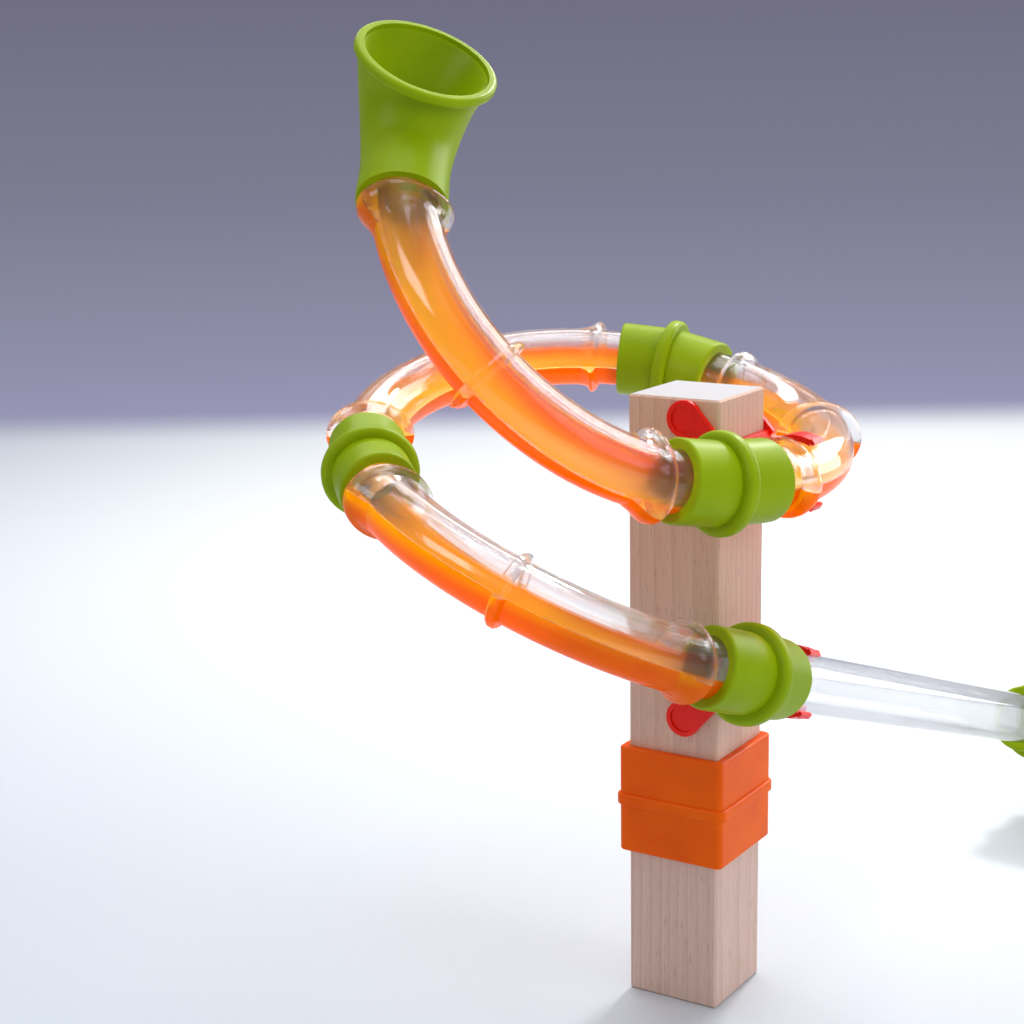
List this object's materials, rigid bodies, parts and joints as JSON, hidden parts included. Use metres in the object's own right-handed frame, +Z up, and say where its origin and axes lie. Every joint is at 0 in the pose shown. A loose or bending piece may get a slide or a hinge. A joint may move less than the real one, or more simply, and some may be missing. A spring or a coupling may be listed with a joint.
{
  "type": "marble run",
  "caption": "Marble run: a funnel and a falling spiral of bent two-tone tubes joined by soft connectors and clipped to a square wooden post, with a straight clear outlet tube.",
  "frame": {"origin": "centre of the foot of the wooden post, where it stands on the table", "axes": "+Z up the post; +X out of the face that carries both clips; +Y along that face, towards the straight outlet tube"},
  "size_m": [0.2418, 0.4135, 0.3972],
  "materials": {
    "beech": "sanded, unvarnished",
    "orange_silicone": "matte",
    "green_silicone": "matte",
    "clear_plastic": "clear, polished",
    "orange_plastic": "translucent, polished",
    "red_plastic": "glossy"
  },
  "bodies": {
    "run": {"lower_block": "beech", "upper_block": "beech", "post_band": "orange_silicone", "upper_clip": "red_plastic", "lower_clip": "red_plastic", "connector_1": "green_silicone", "connector_2": "green_silicone", "connector_3": "green_silicone", "connector_4": "green_silicone", "tube_a_clear": "clear_plastic", "tube_a_orange": "orange_plastic", "tube_b_clear": "clear_plastic", "tube_b_orange": "orange_plastic", "tube_c_clear": "clear_plastic", "tube_c_orange": "orange_plastic", "tube_d_clear": "clear_plastic", "tube_d_orange": "orange_plastic", "outlet_tube": "clear_plastic"},
    "funnel": {"funnel": "green_silicone"},
    "outlet_connector": {"connector_5": "green_silicone"}
  },
  "joints": [
    {"name": "funnel_turn", "type": "hinge", "parent": "run", "child": "funnel", "pos_m": [-0.08014, -0.08024, 0.35119], "axis": [-0.3593, 0.6687, 0.651], "continuous": true},
    {"name": "outlet_connector_turn", "type": "hinge", "parent": "run", "child": "outlet_connector", "pos_m": [0.06466, 0.25605, 0.05094], "axis": [0.0825, 0.9425, -0.3239], "continuous": true}
  ]
}
